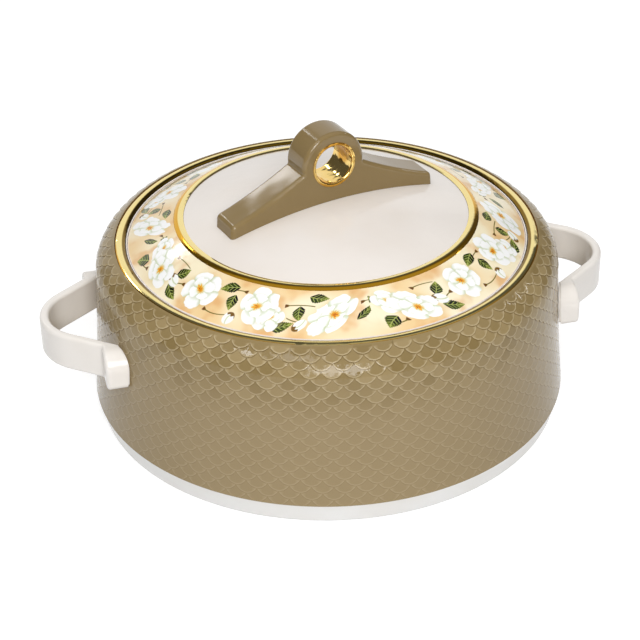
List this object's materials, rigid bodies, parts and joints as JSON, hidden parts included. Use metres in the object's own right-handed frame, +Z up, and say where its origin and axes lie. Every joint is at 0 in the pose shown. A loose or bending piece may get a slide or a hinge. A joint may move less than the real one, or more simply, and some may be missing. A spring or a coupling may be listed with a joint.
{
  "type": "insulated chapati casserole",
  "caption": "Round insulated chapati casserole with a lift-off domed lid, a ring handle on the lid, strap handles at the sides and gold trim.",
  "frame": {"origin": "on the floor under the middle of the body", "axes": "+Z up, +X through the right side handle, +Y away from the front"},
  "size_m": [0.3624, 0.3, 0.1847],
  "materials": {
    "taupe_plastic": "glossy with a fish-scale relief",
    "taupe_handle_plastic": "glossy",
    "white_plastic": "glossy",
    "handle_plastic": "glossy",
    "printed_plastic": "glossy print",
    "gold_trim": "polished gold-coloured plating",
    "bowl_steel": "satin stainless steel",
    "screw_steel": "plain zinc",
    "foam": "rigid polyurethane foam"
  },
  "bodies": {
    "body": {"outer_shell": "taupe_plastic", "base_tray": "white_plastic", "base_screws": "screw_steel", "inner_bowl": "bowl_steel", "body_insulation": "foam", "mouth_collar": "white_plastic", "mouth_ring": "gold_trim", "left_handle": "handle_plastic", "right_handle": "handle_plastic", "handle_screws": "screw_steel", "handle_washers": "screw_steel"},
    "lid": {"lid_shell": "white_plastic", "print_ring": "printed_plastic", "inner_ring": "gold_trim", "centre_disc": "white_plastic", "lid_liner": "bowl_steel", "lid_insulation": "foam", "lid_handle": "taupe_handle_plastic", "handle_bush": "gold_trim", "lid_handle_screws": "screw_steel", "lid_handle_washers": "screw_steel"}
  },
  "joints": [
    {"name": "lid_lift", "type": "slide", "parent": "body", "child": "lid", "axis": [0, 0, 1], "range_m": [0, 0.09]}
  ]
}
